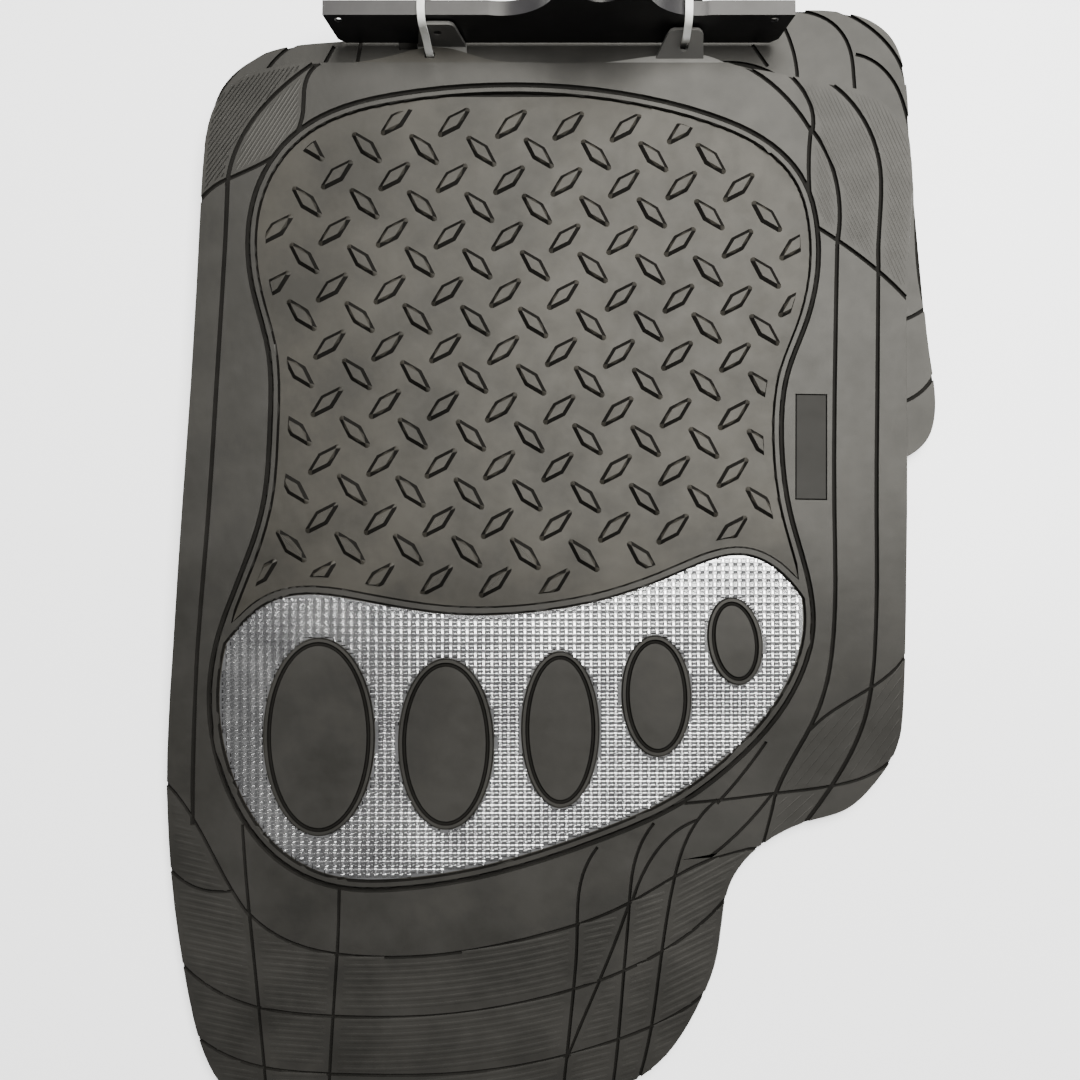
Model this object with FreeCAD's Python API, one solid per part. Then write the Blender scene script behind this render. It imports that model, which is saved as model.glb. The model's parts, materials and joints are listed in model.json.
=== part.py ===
import FreeCAD, Part
import math
import os

V = FreeCAD.Vector

# ---- driving dimensions (mm) ----
SHEET = 2.4            # flexible sheet of every mat
RELIEF = 2.0           # raised pattern on the sheet
GAP = 0.3              # air between two stacked mats
STACK = 2 * (SHEET + RELIEF + GAP)    # two rear mats lift the front mats by this much
SAG_FROM = -292.0      # front mats leave the rear mats here ...
SAG_TO = -520.0        # ... and reach the floor here
FOLD = 0.15            # y of the fold line at the tied tabs
RIB = 5.0              # ring rib round the tread field
RING_CHANNEL = 7.0     # ring rib plus the channel outside it
CHANNEL = 2.4          # floor of the upper border's channels
FINE_CHANNEL = 1.6     # floor of the lower border's channels
END_REACH = 1.6        # how far each channel runs on past its last point
SMALLEST_PANEL = 20.0  # smaller leftovers between the channels are left out, mm2
PITCH = 37.0           # tread lattice
TREAD_TURN = -1.85     # lattice turn in degrees
TREAD_LONG = 27.0
TREAD_WIDE = 11.0
TREAD_HIGH = 1.8
FOIL = 0.4             # metallic foil of the heel insert
HANGER_Y = 16.0        # front face of the hanger plate
HANGER_Z = 12.3        # its bottom edge
HANGER_HIGH = 35.7
HANGER_WALL = 2.0
FLANGE = 9.5           # flange depth, plate included
TIE_WIDE = 4.8
TIE_THICK = 1.3

MID_Z = STACK + SHEET + RELIEF + GAP / 2        # between the two front mats
DROP = STACK
BEND = 2 * math.atan(DROP / (SAG_FROM - SAG_TO))
BEND_R = (SAG_FROM - SAG_TO) / 2 / math.sin(BEND)

# ---- front mat outline, clockwise ----
FRONT = [(-150, 0), (-128, 1.5), (-108, 5.5), (-83, 11), (-66, 9), (-50, 4), (-30, 0.8), (0, -0.5),
         (30, 0.8), (50, 3.5), (78, 6.5), (97, 5), (112, -1), (130, -5), (160, -11), (190, -17), (202, -21),
         (213, -30), (223, -46), (227, -64), (226, -100), (222, -155), (220.5, -250), (218, -350),
         (216.5, -412), (212, -441), (198, -463), (180, -479), (155, -486.7), (136, -495), (119, -507.5),
         (106.7, -525), (101, -550), (96.5, -575), (85, -601.7), (61.7, -634), (33, -651), (0, -659),
         (-60, -666), (-120, -668), (-170, -664), (-205, -652), (-222, -626), (-232, -590), (-241, -540),
         (-246, -490), (-247, -450), (-244, -390), (-239, -300), (-234, -200), (-230.5, -100), (-228.5, -56),
         (-222, -28), (-208, -12), (-180, -2)]

# ---- edge of the well that holds the tread field and the heel insert ----
WELL = [(-60, -21.5), (0, -21.5), (60, -30), (100, -41.5), (135, -60), (152, -80), (160, -110), (160, -135),
        (152, -170), (140.5, -200), (135.2, -245), (140.5, -295), (151, -335), (153.8, -365), (140, -406),
        (110, -442), (70, -472), (25, -492), (-50, -515), (-100, -522.5), (-145, -520), (-175, -504.5),
        (-200, -472), (-214, -425), (-211, -378), (-197, -337), (-182, -290), (-178, -240), (-180.5, -185),
        (-190, -150), (-194, -115), (-187, -80), (-165, -50), (-135, -34), (-100, -26)]

# ---- upper edge of the heel insert ----
INSERT = [(-225, -392), (-203, -365), (-185, -350), (-160, -344), (-125, -348), (-60, -357), (-20, -355.5),
          (25, -348), (75, -330.5), (98, -321.5), (120, -320), (143, -333), (162, -362)]

# ---- heel pads: centre, half sizes, lean in degrees ----
PADS = [(-151.5, -433.5, 35, 62, 0), (-71.5, -438, 30, 53.5, 0), (0.5, -429, 24.5, 49, 0),
        (61, -408, 21.8, 38, 2), (110.5, -373.5, 17, 27.5, 8)]

# ---- channels between the raised panels, as centre lines ----
UPPER_CHANNELS = [
    [(-213, -78), (-214, -120), (-217.5, -200), (-222, -300), (-227, -370), (-230, -430), (-230.5, -487)],
    [(-155, 2), (-178, -16), (-200, -42), (-213, -80)],
    [(-212, -77), (-220, -81), (-232, -94)],
    [(-212, -77), (-195, -69), (-175, -55), (-166, -38), (-163.5, -12), (-156, -2)],
    [(119, -2), (132, -10), (153, -31), (162.5, -46)],
    [(146, -6), (155, -15), (163, -31), (162.8, -46)],
    [(162, -44), (173, -62), (180, -95), (178.2, -119)],
    [(162.5, -44), (160.5, -70), (161, -88)],
    [(164, -108), (178.5, -117.5), (203, -136.5), (226, -160)],
    [(172, -12), (192.5, -31.5), (206, -66), (206, -100), (204.3, -138)],
    [(178.5, -115), (176, -180), (173.5, -300), (171.2, -380), (163, -416), (148, -444.5), (136, -469)],
    [(204.3, -134), (202.5, -200), (200, -300), (197.8, -385), (190.4, -427), (175, -458), (152, -490)]]

FINE_CHANNELS = [
    [(220, -377), (209.8, -392), (194, -403.7), (174, -415.7), (159, -428)],
    [(80, -475), (105, -472.6), (137, -468.7), (174, -463.7), (195.8, -457), (210, -446)],
    [(136, -468), (133, -481), (126, -505)],
    [(132, -471), (118, -487.5), (96, -507)],
    [(129, -438), (116.5, -455), (100, -474)],
    [(126, -503), (100, -508), (66, -524), (38, -539.5), (-10, -556), (-70, -568), (-125, -569.5),
     (-170, -560), (-195, -542)],
    [(106, -531), (80, -556), (43, -577), (-10, -594.6), (-70, -605), (-140, -606), (-205, -595),
     (-238, -571)],
    [(91, -591), (70, -606), (39, -619), (-10, -633), (-70, -641), (-140, -641), (-200, -632.5),
     (-229, -615)],
    [(-199, -490), (-195, -535), (-189, -585), (-184, -630), (-180, -668)],
    [(-138, -529), (-139, -570), (-141, -606), (-143, -672)],
    [(23, -504), (13, -525), (10.8, -560), (7.5, -600), (3.8, -636), (0.5, -663)],
    [(58.5, -489), (47.2, -511), (43, -545), (40, -578), (36.5, -618), (31.5, -656)],
    [(98, -474), (80, -497), (70, -530), (63.5, -568), (57.5, -609), (48.5, -645)],
    [(86, -486), (70, -495), (51.8, -519.5), (45.8, -535)],
    [(43, -538), (31.5, -568.5), (19, -597.5), (5, -630)],
    [(-250, -460), (-230, -485), (-207, -526), (-193.5, -545)],
    [(-248, -510), (-232, -525.5), (-206, -529)]]

# ---- rear mat outline, clockwise, turned a few degrees to the front mats ----
REAR = [(-150, 18), (-80, 23), (0, 28.5), (80, 34.5), (150, 39.5), (185, 38.5), (205, 32.5), (219, 20),
        (225, 5), (228.5, -30), (230.5, -75), (235, -140), (239, -190), (241.5, -228), (236, -245),
        (221, -257), (120, -264.5), (0, -273), (-120, -281.5), (-190, -286), (-213, -282), (-224, -268),
        (-228, -240), (-229.5, -160), (-230, -90), (-228.5, -42), (-222, -14), (-204, 5), (-182, 14)]

REAR_WELL = [(-100, -15), (0, -8), (90, -2), (125, -5), (145, -22), (151, -55), (154, -110), (160, -170),
             (158, -200), (140, -219), (100, -225), (0, -232), (-100, -239), (-145, -238), (-163, -222),
             (-169, -190), (-171, -130), (-173, -70), (-166, -36), (-140, -19)]

REAR_CHANNELS = [
    [(180, 41), (197, 33), (217, 15), (227, -9)],
    [(148, 38.5), (165, 38), (187, 23), (193, -3), (197, -60), (202, -120), (206, -180), (204, -225),
     (190, -262)],
    [(147, 30), (153, 15), (156, -12)],
    [(196, 9), (217, -5), (227, -30), (232, -90), (237, -160), (240.5, -205), (228, -217), (203, -222)],
    [(96, 2), (128, 2), (152, -12)],
    [(128, 15), (136, 3)],
    [(203, -169), (222, -167), (240, -156)],
    [(-152, 20), (-180, 12), (-194, -6), (-201, -60), (-203, -150), (-199, -225), (-182, -288)],
    [(-190, 13), (-215, -6), (-229, -36)],
    [(-148, 14), (-157, -3), (-168, -22)],
    [(-129, 22), (-134, -8)],
    [(-204, -150), (-218, -156), (-233, -170)],
    [(120, -222), (126, -245), (132, -268)],
    [(-120, -236), (-124, -260), (-130, -285)],
    [(0, -229), (0, -276)]]


# ---- drawing helpers ----
def curve(points, closed):
    spline = Part.BSplineCurve()
    spline.interpolate(Points=[V(p[0], p[1], 0) for p in points], PeriodicFlag=closed)
    return spline


def side_point(spline, at, distance):
    along = spline.tangent(at)[0]
    across = V(-along.y, along.x, 0)
    return spline.value(at) + across * distance


def closed_face(points, grow=0.0):
    spline = curve(points, True)
    if grow == 0.0:
        return Part.Face(Part.Wire(spline.toShape()))
    count = 3 * len(points)
    first = spline.FirstParameter
    step = (spline.LastParameter - first) / count
    moved = [side_point(spline, first + i * step, grow) for i in range(count)]
    return Part.Face(Part.Wire(curve(moved, True).toShape()))


def moved_on(last, before):
    x, y = last[0] - before[0], last[1] - before[1]
    return (last[0] + x * END_REACH / math.hypot(x, y), last[1] + y * END_REACH / math.hypot(x, y))


def band(points, width):
    ends = [moved_on(points[0], points[1]), moved_on(points[-1], points[-2])]
    spline = curve([ends[0]] + points[1:-1] + [ends[1]], False)
    count = 2 * len(points)
    first = spline.FirstParameter
    step = (spline.LastParameter - first) / count
    marks = [first + i * step for i in range(count + 1)]
    left = curve([side_point(spline, m, width / 2) for m in marks], False)
    right = curve([side_point(spline, m, -width / 2) for m in marks], False)
    ends = [Part.makeLine(left.EndPoint, right.EndPoint), Part.makeLine(right.StartPoint, left.StartPoint)]
    edges = [left.toShape(), ends[0], right.toShape(), ends[1]]
    return Part.Face(Part.Wire(Part.__sortEdges__(edges)))


def without_slivers(faces):
    return Part.makeCompound([face for face in faces.Faces if face.Area > SMALLEST_PANEL])


def strip(y_low, y_high):
    return Part.makePlane(800, y_high - y_low, V(-400, y_low, 0))


def turned(x, y, degrees):
    angle = math.radians(degrees)
    return (x * math.cos(angle) - y * math.sin(angle), x * math.sin(angle) + y * math.cos(angle))


# ---- the shape of the stack, seen from the side ----
def side_line(offset, reverse):
    low_z = MID_Z - DROP
    top = V(0, 60, MID_Z + offset)
    start = V(0, SAG_FROM, MID_Z + offset)
    first_r = BEND_R + offset
    second_r = BEND_R - offset
    first_c = V(0, SAG_FROM, MID_Z - BEND_R)
    second_c = V(0, SAG_TO, low_z + BEND_R)
    mid_a = first_c + V(0, -math.sin(BEND / 2), math.cos(BEND / 2)) * first_r
    meet = first_c + V(0, -math.sin(BEND), math.cos(BEND)) * first_r
    mid_b = second_c + V(0, math.sin(BEND / 2), -math.cos(BEND / 2)) * second_r
    end = V(0, SAG_TO, low_z + offset)
    tail = V(0, -700, low_z + offset)
    edges = [Part.makeLine(top, start), Part.Arc(start, mid_a, meet).toShape(),
             Part.Arc(meet, mid_b, end).toShape(), Part.makeLine(end, tail)]
    return (top, tail, edges[::-1] if reverse else edges)


def layer(low, high):
    a_top, a_tail, a_edges = side_line(low, False)
    b_top, b_tail, b_edges = side_line(high, True)
    wire = Part.Wire(a_edges + [Part.makeLine(a_tail, b_tail)] + b_edges + [Part.makeLine(b_top, a_top)])
    solid = Part.Face(wire).extrude(V(600, 0, 0))
    solid.translate(V(-300, 0, 0))
    return solid


def front_layer(face, up, low, high):
    half = GAP / 2
    bounds = (half + low, half + high) if up else (-half - high, -half - low)
    column = face.extrude(V(0, 0, 60))
    column.translate(V(0, 0, -10))
    return column.common(layer(*bounds))


def middle_at(y):
    if y >= SAG_FROM:
        return (MID_Z, 0.0)
    if y <= SAG_TO:
        return (MID_Z - DROP, 0.0)
    if y >= (SAG_FROM + SAG_TO) / 2:
        angle = math.asin((SAG_FROM - y) / BEND_R)
        return (MID_Z - BEND_R * (1 - math.cos(angle)), angle)
    angle = math.asin((y - SAG_TO) / BEND_R)
    return (MID_Z - DROP + BEND_R * (1 - math.cos(angle)), angle)


# ---- treads ----
def diamond(long_half, wide_half, blunt, z):
    quarter = [(long_half, blunt * 0.45), (long_half - blunt * 0.55, blunt), (0, wide_half)]
    half = quarter + [(-x, y) for x, y in quarter[1::-1]]
    around = half + [(-x, -y) for x, y in half]
    return Part.makePolygon([V(x, y, z) for x, y in around + around[:1]])


def tread():
    base = diamond(TREAD_LONG / 2, TREAD_WIDE / 2, 1.9, 0)
    top = diamond(TREAD_LONG / 2 - 2.9, TREAD_WIDE / 2 - 1.7, 0.5, TREAD_HIGH)
    return Part.makeLoft([base, top], True, True)


def lattice(x_from, x_to, y_from, y_to):
    spots = []
    for column in range(-8, 9):
        for row in range(-12, 8):
            for shift, lean in ((0.0, 45), (0.5, -45)):
                x, y = turned((column + shift) * PITCH, (row + shift) * PITCH, TREAD_TURN)
                spots.append((x - 105, y - 38, lean + TREAD_TURN))
    return [s for s in spots if x_from < s[0] < x_to and y_from < s[1] < y_to]


def tread_field(area, spots, place):
    one = tread()
    made = []
    prism = area.extrude(V(0, 0, 60))
    prism.translate(V(0, 0, -10))
    for x, y, lean in spots:
        dx, dy = turned(TREAD_LONG / 2, 0, lean)
        inside = [area.isInside(V(x + k * dx, y + k * dy, 0), 0.01, True) for k in (-1, -0.5, 0, 0.5, 1)]
        if not inside[2]:
            continue
        solid = one.copy()
        solid.rotate(V(0, 0, 0), V(0, 0, 1), lean)
        solid = place(solid, x, y)
        made.append(solid if all(inside) else solid.common(prism))
    return Part.makeCompound([s for shape in made for s in shape.Solids])


def on_front(up):
    floor = layer(GAP / 2 + SHEET, 12) if up else layer(-12, -GAP / 2 - SHEET)

    def place(solid, x, y):
        z, angle = middle_at(y)
        tilt = math.degrees(angle)
        offset = GAP / 2 + SHEET
        if not up:
            solid.rotate(V(0, 0, 0), V(0, 1, 0), 180)
            offset = -offset
        solid.rotate(V(0, 0, 0), V(1, 0, 0), tilt)
        lean = math.radians(tilt)
        solid.translate(V(x, y - offset * math.sin(lean), z + offset * math.cos(lean)))
        return solid if y > SAG_FROM + TREAD_LONG else solid.common(floor)

    return place


# ---- front mats ----
def front_outline():
    return closed_face(FRONT).common(strip(-700, 0))


def insert_lower():
    edge = curve(INSERT, False)
    wire = Part.Wire([edge.toShape(), Part.makeLine(edge.EndPoint, V(250, -600, 0)),
                      Part.makeLine(V(250, -600, 0), V(-300, -600, 0)),
                      Part.makeLine(V(-300, -600, 0), edge.StartPoint)])
    return Part.Face(wire)


def pad_face(pad, grow):
    x, y, half_x, half_y, lean = pad
    face = Part.Face(Part.Wire(Part.Ellipse(V(0, 0, 0), half_y + grow, half_x + grow).toShape()))
    face.rotate(V(0, 0, 0), V(0, 0, 1), 90 + lean)
    face.translate(V(x, y, 0))
    return face


def front_sheet(up):
    return front_layer(front_outline(), up, 0, SHEET)


def badge_face(grow):
    long, wide = 66.5 + 2 * grow, 19 + 2 * grow
    face = Part.makePlane(wide, long, V(-wide / 2, -long / 2, 0))
    face.rotate(V(0, 0, 0), V(0, 0, 1), -0.9)
    face.translate(V(159.5, -250.7, 0))
    return face


def front_panels(up):
    cuts = [band(c, CHANNEL) for c in UPPER_CHANNELS] + [band(c, FINE_CHANNEL) for c in FINE_CHANNELS]
    cuts += [closed_face(WELL, RING_CHANNEL), badge_face(0.4)]
    return front_layer(without_slivers(front_outline().cut(cuts)), up, SHEET, SHEET + RELIEF)


def front_ring(up):
    rib = closed_face(WELL, RIB).cut(closed_face(WELL))
    lifted = [(x, y + 2.8) for x, y in INSERT]
    bridge = band(lifted, 5.5).common(closed_face(WELL, RIB / 2))
    parts = [front_layer(face, up, SHEET, SHEET + RELIEF) for face in (rib, bridge)]
    return parts[0].fuse(parts[1])


def front_treads(up):
    below = insert_lower()
    below.translate(V(0, 11, 0))
    area = closed_face(WELL, -5.5).cut(below)
    return tread_field(area, lattice(-200, 170, -370, -20), on_front(up))


def front_foil(up):
    bridge = band([(x, y + 2.8) for x, y in INSERT], 6.2)
    area = closed_face(WELL, -0.6).common(insert_lower()).cut([pad_face(p, 0.4) for p in PADS] + [bridge])
    return front_layer(area, up, SHEET, SHEET + FOIL)


def front_pads(up):
    solids = []
    for pad in PADS:
        body = front_layer(pad_face(pad, 0), up, SHEET, SHEET + RELIEF)
        groove = front_layer(pad_face(pad, -3).cut(pad_face(pad, -4.4)), up, SHEET + 0.8, SHEET + 9)
        solids.append(body.cut(groove))
    return Part.makeCompound(solids)


def front_badge(up):
    return front_layer(badge_face(0), up, SHEET, SHEET + RELIEF)


# ---- tied ends of the front mats ----
def fixed_end(x_side, z_low):
    half = Part.makePlane(400, 60, V(0 if x_side > 0 else -400, 2 * FOLD, 0))
    plate = closed_face(FRONT).common(half).extrude(V(0, 0, SHEET))
    plate.translate(V(0, 0, z_low))
    return plate


def tab_plate(base, top, high, hole_x, hole_z, hole_half):
    x0, x1 = base
    x2, x3 = top
    outline = Part.makePolygon([V(x0, 0, 0), V(x1, 0, 0), V(x3, 0, high), V(x2, 0, high), V(x0, 0, 0)])
    solid = Part.Face(outline).extrude(V(0, SHEET, 0))
    corners = [e for e in solid.Edges if abs(e.BoundBox.YLength - SHEET) < 0.01 and e.BoundBox.ZMax > high - 1]
    solid = solid.makeFillet(5.0, corners)
    hole = Part.makeCylinder(hole_half[0], SHEET + 2, V(hole_x, -1, hole_z - hole_half[1]), V(0, 1, 0))
    upper = Part.makeCylinder(hole_half[0], SHEET + 2, V(hole_x, -1, hole_z + hole_half[1]), V(0, 1, 0))
    if hole_half[1] == 0:
        return solid.cut(hole)
    core = Part.makeBox(2 * hole_half[0], SHEET + 2, 2 * hole_half[1],
                        V(hole_x - hole_half[0], -1, hole_z - hole_half[1]))
    return solid.cut([hole, upper, core])


def driver_tab():
    tab = tab_plate((62.5, 94), (70, 91), 23.5, 80.3, 12.0, (2.6, 2.2))
    tab.rotate(V(0, 0, 0), V(1, 0, 0), -24)
    tab.translate(V(0, 2.6, MID_Z + GAP / 2 + 0.9))
    return tab.fuse(fixed_end(1, MID_Z + GAP / 2)).removeSplitter()


def driver_lobe():
    slit = Part.makeBox(6.4, 3.6, 10, V(-87.2, 4.0, MID_Z - 3))
    return fixed_end(-1, MID_Z + GAP / 2).cut(slit)


def passenger_tab():
    z_low = MID_Z - GAP / 2 - SHEET
    tab = tab_plate((-92, -60), (-88, -67), 31, -77.5, 20.5, (2.6, 0))
    tab.translate(V(0, 12.6, z_low))
    bridge = Part.makeBox(32, 15.0 - 2 * FOLD, SHEET, V(-92, 2 * FOLD, z_low))
    slit = Part.makeBox(6.4, 6.2, 10, V(-87.2, 4.0, z_low - 3))
    return tab.fuse(bridge).cut(slit).removeSplitter()


# ---- rear mats ----
def rear_tab(x, y, z_low, back):
    foot = Part.makeBox(32, back - y + SHEET + 6, SHEET, V(x - 16, y - 6, z_low))
    tab = tab_plate((x - 16, x + 16), (x - 11, x + 11), 34 - z_low, x, 26 - z_low, (3.8, 1.5))
    tab.translate(V(0, back, z_low))
    return foot.fuse(tab)


def rear_sheet(z_low):
    sheet = closed_face(REAR).extrude(V(0, 0, SHEET))
    sheet.translate(V(0, 0, z_low))
    return sheet


def rear_tabs(z_low, left_back, right_back):
    tabs = [rear_tab(-85, 23, z_low, left_back), rear_tab(80, 34.5, z_low, right_back)]
    return Part.makeCompound([tab.cut(rear_sheet(z_low)).removeSplitter() for tab in tabs])


def raised(face, z_low):
    solid = face.extrude(V(0, 0, RELIEF))
    solid.translate(V(0, 0, z_low + SHEET))
    return solid


def rear_panels(z_low):
    cuts = [band(c, CHANNEL) for c in REAR_CHANNELS] + [closed_face(REAR_WELL, RING_CHANNEL)]
    notch = [Part.makePlane(40, 30, V(x - 20, y, 0)) for x, y in ((-85, 13), (80, 26))]
    return raised(without_slivers(closed_face(REAR).cut(cuts + notch)), z_low)


def rear_ring(z_low):
    return raised(closed_face(REAR_WELL, RIB).cut(closed_face(REAR_WELL)), z_low)


def rear_treads(z_low):
    def place(solid, x, y):
        solid.translate(V(x, y, z_low + SHEET))
        return solid

    area = closed_face(REAR_WELL, -5.5)
    return tread_field(area, lattice(-190, 170, -245, 0), place)


# ---- hanger and ties ----
def hanger_outline():
    z0 = HANGER_Z
    z1 = HANGER_Z + HANGER_HIGH
    neck = 27.0
    rise = z1 + 30
    left = Part.Arc(V(-45, 0, z1), V(-12, 0, z1 + 9), V(25 - neck, 0, rise)).toShape()
    right = Part.Arc(V(25 + neck, 0, rise), V(62, 0, z1 + 9), V(95, 0, z1)).toShape()
    corners = [V(95, 0, z1), V(147, 0, z1), V(142.5, 0, z0 + 5), V(137.5, 0, z0), V(-139, 0, z0),
               V(-143.5, 0, z0 + 5), V(-148, 0, z1), V(-45, 0, z1)]
    lines = [Part.makeLine(a, b) for a, b in zip(corners, corners[1:])]
    crown = Part.Arc(V(25 - neck, 0, rise), V(25, 0, rise + neck), V(25 + neck, 0, rise)).toShape()
    return Part.Wire(Part.__sortEdges__([left, crown, right] + lines))


def hanger():
    z1 = HANGER_Z + HANGER_HIGH
    outer = Part.Face(hanger_outline())
    blank = outer.extrude(V(0, FLANGE, 0))
    inner_wire = hanger_outline().makeOffset2D(-HANGER_WALL)
    pocket = Part.Face(inner_wire).extrude(V(0, FLANGE, 0))
    pocket.translate(V(0, HANGER_WALL, 0))
    below = Part.makeBox(400, FLANGE, 12, V(-200, HANGER_WALL, HANGER_Z - 3))
    body = blank.cut([pocket, below])
    eye = Part.makeCylinder(15, 40, V(25, -10, z1 + 30), V(0, 1, 0))
    mouth = Part.makeBox(40, 40, 15, V(-15, -10, z1 + 30))
    ring = Part.makeCylinder(17, FLANGE, V(25, 0, z1 + 30), V(0, 1, 0))
    body = body.fuse(ring).cut([eye, mouth])
    holes = [Part.makeCylinder(2.5, 40, V(x, -10, z1 - 6.5), V(0, 1, 0)) for x in (-139, 135)]
    body = body.cut(holes)
    body.translate(V(0, HANGER_Y, 0))
    return body.removeSplitter()


def tie(x, path, lean, tail):
    outer = closed_face(path, TIE_THICK / 2)
    inner = closed_face(path, -TIE_THICK / 2)
    big, small = (outer, inner) if outer.Area > inner.Area else (inner, outer)
    loop = big.cut(small).extrude(V(0, 0, TIE_WIDE))
    head = Part.makeBox(6.0, 5.0, 7.4, V(path[0][0] - 3.0, path[0][1] - 2.5, -1.3))
    strip_end = Part.makeBox(TIE_THICK, tail, TIE_WIDE, V(path[0][0] + 3.3, path[0][1] - tail / 2, 0))
    slot = Part.makeBox(1.2, tail, TIE_WIDE, V(path[0][0] + 2.2, path[0][1] - 2.5, 0))
    solid = loop.fuse([head, strip_end, slot])
    solid.Placement = FreeCAD.Placement(V(x - TIE_WIDE / 2, 0, 0), FreeCAD.Rotation(V(0, 1, 0), V(0, 0, 1), V(1, 0, 0)))
    solid.rotate(V(x, 0, 18), V(0, 1, 0), lean)
    return solid


LEFT_LOOP = [(34.5, 38), (33.6, 29), (29, 25.8), (24.5, 25), (21.5, 17), (19, 11.2), (14, 10.3), (9, 10.6),
             (6.2, 13), (6.2, 18), (8.8, 28), (10.6, 39), (12.4, 47), (16.5, 50.6), (24, 51), (31, 47)]
RIGHT_LOOP = [(45.5, 37), (44.6, 30), (41, 26.4), (37, 26), (32, 22), (25, 13), (19, 10.4), (14.2, 11),
              (11.6, 17), (10.6, 25), (8.2, 28.6), (7.4, 33), (9.6, 41), (12.6, 48), (18, 51), (27, 50.8),
              (38, 45.5)]


# ---- export ----
def save(name, shape):
    shape.exportStep("parts/" + name + ".step")


def build_front(name, up):
    save(name + "_sheet", front_sheet(up))
    save(name + "_panels", front_panels(up))
    save(name + "_ring", front_ring(up))
    save(name + "_treads", front_treads(up))
    save(name + "_foil", front_foil(up))
    save(name + "_heel_pads", front_pads(up))
    save(name + "_badge", front_badge(up))


def build_rear(name, z_low, left_back, right_back):
    save(name + "_sheet", rear_sheet(z_low))
    save(name + "_tabs", rear_tabs(z_low, left_back, right_back))
    save(name + "_panels", rear_panels(z_low))
    save(name + "_ring", rear_ring(z_low))
    save(name + "_treads", rear_treads(z_low))


os.makedirs("parts", exist_ok=True)
build_front("driver", True)
build_front("passenger", False)
save("driver_tab", driver_tab())
save("driver_lobe", driver_lobe())
save("passenger_tab", passenger_tab())
build_rear("rear_lower", 0.0, 28.2, 39.2)
build_rear("rear_upper", SHEET + RELIEF + GAP, 25.2, 36.2)
save("hanger", hanger())
save("left_tie", tie(-84, LEFT_LOOP, -4, 14))
save("right_tie", tie(80.3, RIGHT_LOOP, 0, 14))
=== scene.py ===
import bmesh
import bpy
import json
import math
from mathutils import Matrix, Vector


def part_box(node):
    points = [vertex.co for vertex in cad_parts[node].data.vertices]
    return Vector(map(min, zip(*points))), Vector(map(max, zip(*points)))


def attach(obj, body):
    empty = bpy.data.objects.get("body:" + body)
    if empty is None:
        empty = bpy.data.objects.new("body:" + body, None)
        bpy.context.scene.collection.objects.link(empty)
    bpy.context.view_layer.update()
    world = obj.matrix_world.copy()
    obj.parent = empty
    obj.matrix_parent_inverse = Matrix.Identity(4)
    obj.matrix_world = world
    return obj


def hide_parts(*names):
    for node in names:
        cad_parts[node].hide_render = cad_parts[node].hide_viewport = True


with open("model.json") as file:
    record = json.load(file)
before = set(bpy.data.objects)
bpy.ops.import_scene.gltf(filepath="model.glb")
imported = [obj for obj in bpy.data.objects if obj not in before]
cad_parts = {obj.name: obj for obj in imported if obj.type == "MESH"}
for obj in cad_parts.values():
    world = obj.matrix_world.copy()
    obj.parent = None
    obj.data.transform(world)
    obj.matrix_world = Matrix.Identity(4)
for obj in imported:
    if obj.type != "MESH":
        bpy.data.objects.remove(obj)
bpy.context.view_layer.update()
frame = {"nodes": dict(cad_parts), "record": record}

MM = 0.001
MAT_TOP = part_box("driver_panels")[1][2]     # top of the driver's mat, where it lies on the rear mats

# ---- camera: looks down on the driver's mat from above its middle, tilted slightly towards the hanger ----
CAMERA_AT = (-12.3 * MM, -357 * MM, MAT_TOP + 732.4 * MM)
CAMERA_TILT = math.radians(3.683)

camera_data = bpy.data.cameras.new("camera")
camera_data.lens = 38.83
camera_data.sensor_width = 36.0
camera_data.clip_start = 0.01
camera = bpy.data.objects.new("camera", camera_data)
bpy.context.collection.objects.link(camera)
camera.location = CAMERA_AT
camera.rotation_euler = (CAMERA_TILT, 0, 0)
bpy.context.scene.camera = camera

# ---- the front mats seen from the side: an S-bend of two arcs takes them down to the floor ----
SHEET = 2.4 * MM
RELIEF = 2.0 * MM               # border panels over the sheet
FOIL_THICK = 0.4 * MM
GAP = 0.3 * MM                  # between the two front mats, which lie back to back
MIDDLE_TO_TOP = GAP / 2 + SHEET + RELIEF
FOIL_TOP = GAP / 2 + SHEET + FOIL_THICK
SAG_FROM = -292 * MM            # where the bend begins ...
SAG_TO = -520 * MM              # ... and where the mats reach the floor
DROP = MAT_TOP - 2 * MIDDLE_TO_TOP
BEND = 2 * math.atan(DROP / (SAG_FROM - SAG_TO))
BEND_R = (SAG_FROM - SAG_TO) / 2 / math.sin(BEND)


def sag(y, above):
    """How far a surface this far above the middle of the two front mats has sunk at this y."""
    first = BEND_R + above
    second = BEND_R - above
    if y >= SAG_FROM:
        return 0.0
    if y <= SAG_TO:
        return DROP
    if y >= SAG_FROM - first * math.sin(BEND):
        return first - math.sqrt(first ** 2 - (SAG_FROM - y) ** 2)
    return DROP - second + math.sqrt(second ** 2 - (y - SAG_TO) ** 2)


def panel_top(y):
    return MAT_TOP - sag(y, MIDDLE_TO_TOP)


def sheet_top(y):
    return MAT_TOP - RELIEF - sag(y, MIDDLE_TO_TOP - RELIEF)


def foil_top(y):
    return MAT_TOP - (MIDDLE_TO_TOP - FOIL_TOP) - sag(y, FOIL_TOP)


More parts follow.
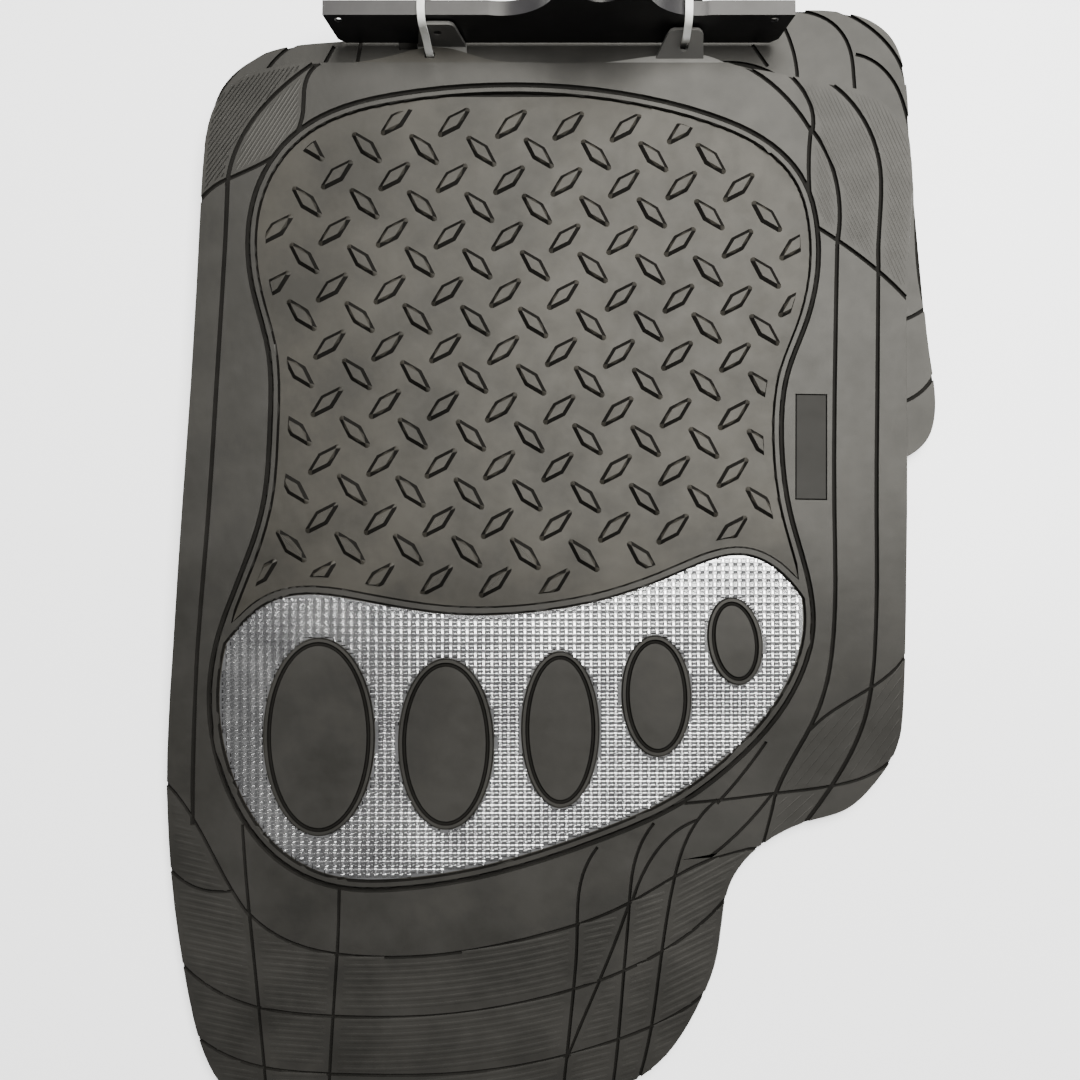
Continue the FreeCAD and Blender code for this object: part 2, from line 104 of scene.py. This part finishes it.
# ---- materials ----
class Shader:
    """A node material on a Principled shader, with short calls for the usual procedural detail."""

    def __init__(self, name, roughness, metallic=0.0, specular=0.5):
        self.material = bpy.data.materials.new(name)
        self.material.use_nodes = True
        self.tree = self.material.node_tree
        self.shader = self.tree.nodes["Principled BSDF"]
        self.constant("Roughness", roughness)
        self.constant("Metallic", metallic)
        self.constant("Specular IOR Level", specular)
        self.place = self.add("ShaderNodeTexCoord").outputs["Object"]
        self.height = None

    def add(self, kind):
        return self.tree.nodes.new(kind)

    def link(self, a, b):
        self.tree.links.new(a, b)

    def constant(self, socket, value):
        self.shader.inputs[socket].default_value = value

    def noise(self, scale, detail, rough):
        node = self.add("ShaderNodeTexNoise")
        node.inputs["Scale"].default_value = scale
        node.inputs["Detail"].default_value = detail
        node.inputs["Roughness"].default_value = rough
        self.link(self.place, node.inputs["Vector"])
        return node.outputs["Fac"]

    def colour(self, value, *stops):
        """Base colour between two stops of (position, colour) along this value."""
        node = self.add("ShaderNodeValToRGB")
        for element, (at, colour) in zip(node.color_ramp.elements, stops):
            element.position = at
            element.color = (*colour, 1)
        self.link(value, node.inputs["Fac"])
        self.link(node.outputs["Color"], self.shader.inputs["Base Color"])

    def roughness(self, value, low, high):
        node = self.add("ShaderNodeMapRange")
        node.inputs["To Min"].default_value = low
        node.inputs["To Max"].default_value = high
        self.link(value, node.inputs["Value"])
        self.link(node.outputs["Result"], self.shader.inputs["Roughness"])

    def bump(self, value, strength, distance):
        node = self.add("ShaderNodeBump")
        node.inputs["Strength"].default_value = strength
        node.inputs["Distance"].default_value = distance
        self.link(value, node.inputs["Height"])
        if self.height:
            self.link(self.height, node.inputs["Normal"])
        self.height = node.outputs["Normal"]
        self.link(self.height, self.shader.inputs["Normal"])


def rubber(name, dark, light, rough_low, rough_high, specular=0.26):
    """Moulded rubber or plastic: cloudy patches of colour and sheen, a fine grain and soft waves."""
    s = Shader(name, 0.5, specular=specular)
    s.constant("Specular Tint", (1.0, 0.97, 0.88, 1))
    s.colour(s.noise(22, 6, 0.6), (0.35, dark), (0.62, light))
    s.roughness(s.noise(60, 5, 0.65), rough_low, rough_high)
    s.bump(s.noise(2600, 2, 0.6), 0.25, 0.12 * MM)
    s.bump(s.noise(45, 3, 0.5), 0.25, 1.2 * MM)
    return s.material


def foil():
    """Silver foil, duller in cloudy patches. Its basket weave is geometry."""
    s = Shader("foil", 0.32, metallic=1.0)
    s.colour(s.noise(30, 5, 0.6), (0.3, (0.50, 0.50, 0.50)), (0.7, (0.76, 0.76, 0.75)))
    s.roughness(s.noise(400, 4, 0.6), 0.10, 0.20)
    s.bump(s.noise(1500, 3, 0.6), 0.3, 0.1 * MM)
    return s.material


def nylon():
    """Natural nylon strip: slightly milky, with light passing through."""
    s = Shader("nylon", 0.35)
    s.colour(s.noise(120, 3, 0.5), (0.35, (0.72, 0.72, 0.66)), (0.65, (0.84, 0.84, 0.80)))
    s.roughness(s.noise(500, 3, 0.5), 0.28, 0.42)
    s.constant("Subsurface Weight", 0.25)
    s.constant("Subsurface Radius", (2.0 * MM, 2.0 * MM, 1.8 * MM))
    s.bump(s.noise(900, 2, 0.5), 0.15, 0.1 * MM)
    return s.material


def floor_tile():
    """Pale glazed tile under strong light."""
    s = Shader("floor", 0.22, specular=0.4)
    s.colour(s.noise(3, 4, 0.5), (0.3, (0.90, 0.90, 0.895)), (0.7, (0.94, 0.94, 0.93)))
    s.roughness(s.noise(9, 4, 0.5), 0.18, 0.30)
    s.constant("Emission Color", (1.0, 1.0, 1.0, 1))
    s.constant("Emission Strength", 0.9)
    return s.material


FIELD = rubber("rubber_field", (0.0105, 0.0095, 0.0075), (0.0270, 0.0245, 0.0195), 0.34, 0.56)
BORDER = rubber("rubber_border", (0.0120, 0.0115, 0.0102), (0.0210, 0.0200, 0.0178), 0.34, 0.50)
SHADE = rubber("rubber_shade", (0.0028, 0.0026, 0.0022), (0.0060, 0.0055, 0.0048), 0.60, 0.75, 0.10)
# painted light: the driver's tab gets a far lighter grey rubber than the rest of the mat, standing for the
# sheen of this brightly lit tab
LIT_TAB = rubber("rubber_tab_painted_light", (0.085, 0.083, 0.077), (0.12, 0.117, 0.108), 0.45, 0.58)
PLASTIC = rubber("hanger_black", (0.008, 0.008, 0.009), (0.014, 0.014, 0.015), 0.28, 0.40)
BADGE = rubber("badge_smooth", (0.0080, 0.0078, 0.0072), (0.0130, 0.0126, 0.0116), 0.60, 0.70)
# painted light: a lighter grey copy of the hanger's black plastic, for its upward faces where the light
# falls
HANGER_TOP_PAINTED_LIGHT = rubber("hanger_top_painted_light", (0.026, 0.025, 0.026), (0.036, 0.035, 0.036), 0.30, 0.42)
FOIL = foil()
NYLON = nylon()

# ---- meshes taken from the frame, cleaned and shaped ----
WELD = 0.01 * MM                # points closer than this are one
FLAT = 0.9                      # faces whose normal rises more than this look up
STEEP = 0.85                    # faces whose normal rises less than this count as walls
SMALLEST_WALL = 0.02 * MM * MM  # smaller wall faces have no reliable direction
ROOM_SHARE = 0.3                # most of the room inside a rim that one side may take
SHARP_TIP = 0.45                # below this the walls at a vertex meet in a sharp tip
SHARP_FOOT = 0.6                # the same for a foot, which then stays where it is
FOLD_CLEAR = 1 * MM             # feet this close to the fold line stay where they are
RIM_ROUND = 0.2 * MM            # rounding of the driver's mat's sloped pieces


def clean_mesh(node):
    """A welded copy of a CAD node's mesh, flat faces joined into one."""
    mesh = bmesh.new()
    mesh.from_mesh(frame["nodes"][node].data)
    bmesh.ops.remove_doubles(mesh, verts=mesh.verts, dist=WELD)
    bmesh.ops.dissolve_limit(mesh, angle_limit=math.radians(0.4), verts=mesh.verts, edges=mesh.edges,
                             use_dissolve_boundaries=False)
    return mesh


def rounded(mesh, width, segments, sharp=35):
    """Rounds every edge sharper than this angle."""
    edges = [e for e in mesh.edges if len(e.link_faces) == 2 and e.calc_face_angle(0) > math.radians(sharp)]
    bmesh.ops.bevel(mesh, geom=edges, offset=width, offset_type="OFFSET", segments=segments, profile=0.5,
                    affect="EDGES", clamp_overlap=True, harden_normals=False)


def is_wall(face):
    return abs(face.normal.z) < STEEP


def is_rim(edge):
    """True for an edge between a face that looks up and a wall that goes down from it."""
    if len(edge.link_faces) != 2:
        return False
    top, wall = sorted(edge.link_faces, key=lambda f: -f.normal.z)
    below = wall.calc_center_median().z < min(v.co.z for v in edge.verts) + WELD
    return top.normal.z > FLAT and is_wall(wall) and below


def ends_of(edge):
    return (edge.verts[0].co.xy.copy(), edge.verts[1].co.xy.copy())


def room_across(point, inward, rim):
    """How far a straight line runs inward from a rim point before it meets the rim again."""
    nearest = 1.0
    for a, b in rim:
        side_a = (a.x - point.x) * inward.y - (a.y - point.y) * inward.x
        side_b = (b.x - point.x) * inward.y - (b.y - point.y) * inward.x
        if (side_a > 0) != (side_b > 0):
            part = side_a / (side_a - side_b)
            reach = (a + (b - a) * part - point).dot(inward)
            if 0.1 * MM < reach < nearest:
                nearest = reach
    return nearest


def drafted(mesh, lean, spread):
    """Slopes the walls of a piece of the driver's mat: the rims move in by lean, the feet out by spread."""
    mesh.normal_update()
    rim_edges = [e for e in mesh.edges if is_rim(e)]
    rim = [ends_of(e) for e in rim_edges]
    rim_verts = {v for e in rim_edges for v in e.verts}
    foot_verts = {v for v in mesh.verts if spread and any(f.normal.z < -FLAT for f in v.link_faces)}
    moves = []
    for vert in rim_verts | foot_verts:
        walls = [f.normal.xy.normalized() for f in vert.link_faces
                 if is_wall(f) and f.calc_area() > SMALLEST_WALL]
        out = sum(walls, Vector((0, 0)))
        if out.length < 0.01:
            continue
        out.normalize()
        square = min(out.dot(w) for w in walls)
        if vert in foot_verts:
            if square > SHARP_FOOT and vert.co.y < -FOLD_CLEAR:
                moves.append((vert, -out * spread))
            continue
        step = min(lean, ROOM_SHARE * room_across(vert.co.xy, -out, rim))
        if square > SHARP_TIP:
            step /= square
        else:
            step = min(step, ROOM_SHARE * min(e.calc_length() for e in vert.link_edges))
        moves.append((vert, out * step))
    for vert, move in moves:
        level = vert.co.z - panel_top(vert.co.y)
        vert.co.x -= move.x
        vert.co.y -= move.y
        vert.co.z = level + panel_top(vert.co.y)
    rounded(mesh, RIM_ROUND, 1, sharp=25)


def new_object(name, mesh, material):
    """An object made from this bmesh, which is freed."""
    data = bpy.data.meshes.new(name)
    mesh.normal_update()
    mesh.to_mesh(data)
    mesh.free()
    data.materials.append(material)
    obj = bpy.data.objects.new(name, data)
    bpy.context.collection.objects.link(obj)
    return obj


def smooth(obj):
    for face in obj.data.polygons:
        face.use_smooth = True


def ride_with(obj, node):
    """Lets a piece move with the body of this CAD node."""
    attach(obj, BODY_OF[node])


def second_material(obj, material, chosen):
    """Gives this material to the faces that pass the test."""
    obj.data.materials.append(material)
    for face in obj.data.polygons:
        face.material_index = int(chosen(face))


BODY_OF = {node: body for body, nodes in frame["record"]["behaviour"]["bodies"].items() for node in nodes}

# material and slot by the ending of a node's name
FINISH = {"sheet": (FIELD, "rubber"), "panels": (BORDER, "rubber_border"),
          "ring": (BORDER, "rubber_border"), "treads": (FIELD, "rubber"), "tabs": (BORDER, "rubber"),
          "foil": (FOIL, "foil"), "heel_pads": (BORDER, "rubber_border"), "badge": (BADGE, "badge"),
          "tab": (LIT_TAB, "rubber"), "lobe": (FIELD, "rubber"), "tie": (NYLON, "tie"),
          "hanger": (PLASTIC, "hanger")}
# mm that the driver's mat's walls lean in at the top and reach out at the foot
DRAFT = {"panels": (0.2, 0.5), "ring": (1.2, 0), "heel_pads": (0.4, 0), "treads": (0.7, 0)}
# mm and segments of the rounded edges
ROUND = {"sheet": (0.7, 2), "badge": (0.5, 2), "tab": (0.35, 2), "tabs": (0.35, 2), "lobe": (0.35, 2),
         "hanger": (0.35, 2), "tie": (0.35, 2)}
REAR_ROUND = {"panels": (0.3, 1), "ring": (0.3, 1)}
CUT_AT = -0.8 * MM              # the driver's sheet is cut across here, where its channels' shade ends
GROOVE_DEPTH = 0.6 * MM         # pad faces sunk more than this are the grooves' floors
PAINTED_LIGHT_RISE = 0.6                  # hanger faces whose normal rises more than this get painted light: a lighter grey than the black plastic, where light falls on them


def shape(node, kind):
    """The node's mesh with sloped walls or rounded edges."""
    mesh = clean_mesh(node)
    if node == "driver_sheet":
        bmesh.ops.bisect_plane(mesh, geom=mesh.verts[:] + mesh.edges[:] + mesh.faces[:],
                               plane_co=(0, CUT_AT, 0), plane_no=(0, 1, 0))
    if node.startswith("driver") and kind in DRAFT:
        lean, spread = DRAFT[kind]
        drafted(mesh, lean * MM, spread * MM)
    elif node.startswith("rear") and kind in REAR_ROUND:
        width, segments = REAR_ROUND[kind]
        rounded(mesh, width * MM, segments)
    elif kind in ROUND:
        width, segments = ROUND[kind]
        rounded(mesh, width * MM, segments)
    return mesh


def shade_walls_and_channels(look, node, kind):
    """Darker rubber where the relief shades it: walls, the pads' grooves, channels between panels."""
    if node == "driver_heel_pads":
        second_material(look, SHADE,
                        lambda f: is_wall(f) or panel_top(f.center.y) - f.center.z > GROOVE_DEPTH)
    elif kind in ("ring", "treads", "heel_pads"):
        second_material(look, SHADE, is_wall)
    elif node == "driver_sheet":
        second_material(look, SHADE, lambda f: f.normal.z > FLAT and f.center.y < 0)
    elif node in ("rear_upper_sheet", "rear_lower_sheet"):
        second_material(look, SHADE, lambda f: f.normal.z > FLAT)


for node in frame["nodes"]:
    kind = next(k for k in FINISH if node.endswith(k))
    material, slot = FINISH[kind]
    look = new_object(node + "_look", shape(node, kind), material)
    look.data.set_sharp_from_angle(angle=math.radians(32))
    smooth(look)
    flat = look.modifiers.new("flat faces", "WEIGHTED_NORMAL")
    flat.keep_sharp = True
    flat.weight = 100
    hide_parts(node)
    ride_with(look, node)
    shade_walls_and_channels(look, node, kind)
    # painted light on the hanger's upward faces
    if kind == "hanger":
        second_material(look, HANGER_TOP_PAINTED_LIGHT, lambda f: f.normal.z > PAINTED_LIGHT_RISE)


# ---- outlines of the frame's own faces, which the fine relief below is built on ----
def face_outlines(node):
    """Edges, seen from above, round the upward faces of a CAD node: one list for each face patch."""
    mesh = clean_mesh(node)
    mesh.normal_update()
    top = {f for f in mesh.faces if f.normal.z > FLAT}
    patches = []
    while top:
        patch, queue = [], [top.pop()]
        while queue:
            face = queue.pop()
            for edge in face.edges:
                joined = [f for f in edge.link_faces if f != face and f.normal.z > FLAT]
                if not joined:
                    patch.append(ends_of(edge))
                for f in joined:
                    if f in top:
                        top.remove(f)
                        queue.append(f)
        patches.append(patch)
    mesh.free()
    return patches


def whole_outline(node):
    return [edge for patch in face_outlines(node) for edge in patch]


def crossing(a, b, y):
    """x where the line from a to b is at this y."""
    return a.x + (b.x - a.x) * (y - a.y) / (b.y - a.y)


def crossed(outline, y):
    """The outline's edges that pass this y."""
    return [(a, b) for a, b in outline if (a.y > y) != (b.y > y)]


def inside(outline, x, y):
    return sum(x < crossing(a, b, y) for a, b in crossed(outline, y)) % 2 == 1


# ---- fine ribs on the driver's mat's border panels ----
BOW_X = -120 * MM
BOW = 1.0                       # bowed ribs rise by this much per square metre away from BOW_X
PROFILE = [(-1.0, 0.0), (-0.55, 0.75), (0.0, 1.0), (0.55, 0.75), (1.0, 0.0)]
RIB_MARGIN = 1.1 * MM           # kept clear inside a panel's rim, measured square to the rim
RIB_STEP = 7 * MM               # longest straight stretch of a rib
SHORTEST_RIB = 2 * MM
RIB_SINK = 0.04 * MM            # a rib's edges lie this deep in the panel
FREE_LOW = 0.5                  # shares of the pitch left free along a panel's low and high sides
FREE_HIGH = 0.3
LEAST_SLOPE = 0.2               # a rim flatter than this to the rib widens its margin no further

# pitch, width and height in mm, and bow
FINE = (2.2, 1.4, 0.15, 0)
THIN = (4.9, 0.8, 0.20, 0)
WAVE = (4.2, 3.0, 0.13, 0)
ARCS = (4.2, 3.0, 0.12, BOW)
# a point in each ribbed panel in mm, the ribs' direction in degrees, and their kind
DRIVER_RIBS = [
    (-197, -22, 55, FINE), (-188, -48, 58, FINE), (-222, -60, 55, FINE),
    (188, -60, -66, FINE), (215, -90, -68, FINE), (168, -92, -68, FINE),
    (180, -430, 50, THIN), (207, -420, 54, THIN), (150, -475, 42, THIN),
    (-236, -500, -14, WAVE), (-222, -560, -12, WAVE), (-212, -610, -12, WAVE), (-208, -640, -10, WAVE),
    (-165, -585, -5, WAVE), (-165, -622, -4, WAVE), (-165, -652, -2, WAVE),
    (-60, -587, 0, ARCS), (-60, -622, 0, ARCS), (-60, -655, 0, ARCS),
    (25, -556, 12, WAVE), (30, -600, 14, WAVE), (18, -640, 14, WAVE),
    (56, -550, 18, WAVE), (50, -595, 18, WAVE), (44, -632, 18, WAVE),
    (82, -535, 27, WAVE), (78, -580, 25, WAVE), (70, -622, 24, WAVE)]


def rib_lines(patch, angle, pitch, bow):
    """Parallel lines across a patch. With a bow they are parabolas about x = BOW_X, otherwise straight."""
    c, s = math.cos(angle), math.sin(angle)

    def unbent(p):
        y = p.y - bow * (p.x - BOW_X) ** 2
        return Vector((p.x * c + y * s, -p.x * s + y * c))

    def bent(t, v):
        x, y = t * c - v * s, t * s + v * c
        return (x, y + bow * (x - BOW_X) ** 2)

    edges = [(unbent(a), unbent(b)) for a, b in patch]
    low = min(min(a.y, b.y) for a, b in edges)
    high = max(max(a.y, b.y) for a, b in edges)
    lines = []
    v = math.ceil((low + FREE_LOW * pitch) / pitch) * pitch
    while v < high - FREE_HIGH * pitch:
        cuts = []
        for a, b in crossed(edges, v):
            slope = max(abs((b - a).normalized().y), LEAST_SLOPE)
            cuts.append((crossing(a, b, v), RIB_MARGIN / slope))
        cuts.sort()
        for (t0, gap0), (t1, gap1) in zip(cuts[::2], cuts[1::2]):
            t0, t1 = t0 + gap0, t1 - gap1
            if t1 - t0 > SHORTEST_RIB:
                steps = max(2, math.ceil((t1 - t0) / RIB_STEP))
                lines.append([bent(t0 + (t1 - t0) * i / steps, v) for i in range(steps + 1)])
        v += pitch
    return lines


def add_rib(mesh, line, wide, high, top_of):
    """A low rounded ridge along the line, tapering into the face at both ends."""
    rows = []
    for i, (x, y) in enumerate(line):
        before, after = line[max(i - 1, 0)], line[min(i + 1, len(line) - 1)]
        along = Vector((after[0] - before[0], after[1] - before[1])).normalized()
        end = i in (0, len(line) - 1)
        row = []
        for side, lift in PROFILE:
            px, py = x - along.y * side * wide / 2, y + along.x * side * wide / 2
            row.append(mesh.verts.new((px, py, top_of(py) + (0.0 if end else lift * high) - RIB_SINK)))
        rows.append(row)
    for a, b in zip(rows, rows[1:]):
        for k in range(len(PROFILE) - 1):
            mesh.faces.new((a[k], b[k], b[k + 1], a[k + 1]))


def ribs_piece(name, node, ribbed_panels, top_of, material):
    patches = face_outlines(node)
    mesh = bmesh.new()
    for x, y, degrees, (pitch, wide, high, bow) in ribbed_panels:
        for patch in patches:
            if inside(patch, x * MM, y * MM):
                for line in rib_lines(patch, math.radians(degrees), pitch * MM, bow):
                    add_rib(mesh, line, wide * MM, high * MM, top_of)
    obj = new_object(name, mesh, material)
    smooth(obj)
    ride_with(obj, node)


ribs_piece("driver_ribs", "driver_panels", DRIVER_RIBS, panel_top, BORDER)

# ---- floors of the tread fields: thin skins that follow the sheets inside the ring ribs ----
SKIN_LIFT = 0.06 * MM
SKIN_TUCK = 0.5 * MM            # how far the skin runs under the ring rib
SKIN_STEP = 2 * MM              # between its rows of points
SKIN_FROM = 6 * MM              # its rows begin and end this far inside the ring rib's box
SKIN_TO = 5 * MM


def field_piece(name, node, top_of):
    ring = whole_outline(node)
    low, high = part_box(node)
    mesh = bmesh.new()
    rows = []
    y = low[1] + SKIN_FROM
    while y < high[1] - SKIN_TO:
        cuts = sorted(crossing(a, b, y) for a, b in crossed(ring, y))
        if len(cuts) >= 4:
            ends = (cuts[1] - SKIN_TUCK, cuts[-2] + SKIN_TUCK)
            rows.append([mesh.verts.new((x, y, top_of(y) + SKIN_LIFT)) for x in ends])
        y += SKIN_STEP
    for a, b in zip(rows, rows[1:]):
        mesh.faces.new((a[0], a[1], b[1], b[0]))
    ride_with(new_object(name, mesh, FIELD), node)


field_piece("driver_field", "driver_ring", sheet_top)
for rear in ("rear_upper", "rear_lower"):
    rear_sheet_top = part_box(rear + "_ring")[1][2] - RELIEF
    field_piece(rear + "_field", rear + "_ring", lambda y: rear_sheet_top)

# ---- basket weave of the heel insert: flat-topped cells that lie across each other in turn ----
WEAVE_X = 2.60 * MM
WEAVE_Y = 2.50 * MM
WEAVE_HIGH = 0.55 * MM
WEAVE_TILT = 0.10               # slope of the cells' tops, which lean to and fro in turn
WEAVE_LONG = 0.38               # half a cell's top, as a share of the pitch
WEAVE_SHORT = 0.22


def weave_piece(name, node):
    outline = whole_outline(node)
    low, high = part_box(node)
    mesh = bmesh.new()
    for i in range(int((high[0] - low[0]) / WEAVE_X) + 2):
        for j in range(int((high[1] - low[1]) / WEAVE_Y) + 2):
            x0, y0 = low[0] + (i - 0.5) * WEAVE_X, low[1] + (j - 0.5) * WEAVE_Y
            x1, y1 = x0 + WEAVE_X, y0 + WEAVE_Y
            corners = [(x0, y0), (x1, y0), (x1, y1), (x0, y1)]
            if sum(inside(outline, x, y) for x, y in corners) < 3:
                continue
            base = [mesh.verts.new((x, y, foil_top(y))) for x, y in corners]
            across = (i + j) % 2
            half_x = WEAVE_X * (WEAVE_LONG if across else WEAVE_SHORT)
            half_y = WEAVE_Y * (WEAVE_SHORT if across else WEAVE_LONG)
            tilt = WEAVE_TILT * (1 if i % 2 else -1)
            top = []
            for x, y in corners:
                side_x, side_y = (1 if x > x0 else -1), (1 if y > y0 else -1)
                lift = tilt * (side_x * half_x if across else side_y * half_y)
                px, py = (x0 + x1) / 2 + side_x * half_x, (y0 + y1) / 2 + side_y * half_y
                top.append(mesh.verts.new((px, py, foil_top(py) + WEAVE_HIGH + lift)))
            mesh.faces.new(top)
            for k in range(4):
                mesh.faces.new((base[k], base[(k + 1) % 4], top[(k + 1) % 4], top[k]))
    ride_with(new_object(name, mesh, FOIL), node)


weave_piece("driver_weave", "driver_foil")


# ---- floor and light ----
def floor(size):
    """A wide level floor, just under the mats."""
    mesh = bmesh.new()
    bmesh.ops.create_grid(mesh, x_segments=1, y_segments=1, size=size / 2)
    obj = new_object("floor", mesh, floor_tile())
    obj.location = (0, -0.3, -0.2 * MM)


def softbox(name, low, high, height, power):
    """A level light panel from one corner to the other, shining straight down."""
    data = bpy.data.lights.new(name, "AREA")
    data.shape = "RECTANGLE"
    data.size = high[0] - low[0]
    data.size_y = high[1] - low[1]
    data.energy = power
    obj = bpy.data.objects.new(name, data)
    obj.location = ((low[0] + high[0]) / 2, (low[1] + high[1]) / 2, height)
    bpy.context.collection.objects.link(obj)


def sky():
    """A pale sky, brightest above and behind the hanger, over a grey horizon."""
    world = bpy.data.worlds.new("world")
    world.use_nodes = True
    tree = world.node_tree
    back = tree.nodes["Background"]
    coord = tree.nodes.new("ShaderNodeTexCoord")
    dot = tree.nodes.new("ShaderNodeVectorMath")
    dot.operation = "DOT_PRODUCT"
    dot.inputs[1].default_value = Vector((0.38, 0.50, 0.78)).normalized()
    ramp = tree.nodes.new("ShaderNodeValToRGB")
    ramp.color_ramp.elements[0].position = 0.40
    ramp.color_ramp.elements[0].color = (0.30, 0.30, 0.31, 1)
    ramp.color_ramp.elements[1].position = 0.95
    ramp.color_ramp.elements[1].color = (1.0, 1.0, 1.0, 1)
    tree.links.new(coord.outputs["Generated"], dot.inputs[0])
    tree.links.new(dot.outputs["Value"], ramp.inputs["Fac"])
    tree.links.new(ramp.outputs["Color"], back.inputs["Color"])
    back.inputs["Strength"].default_value = 0.45
    bpy.context.scene.world = world


floor(120.0)
sky()
softbox("ceiling", (-0.34, -0.32), (1.5, 1.9), 2.2, 208)
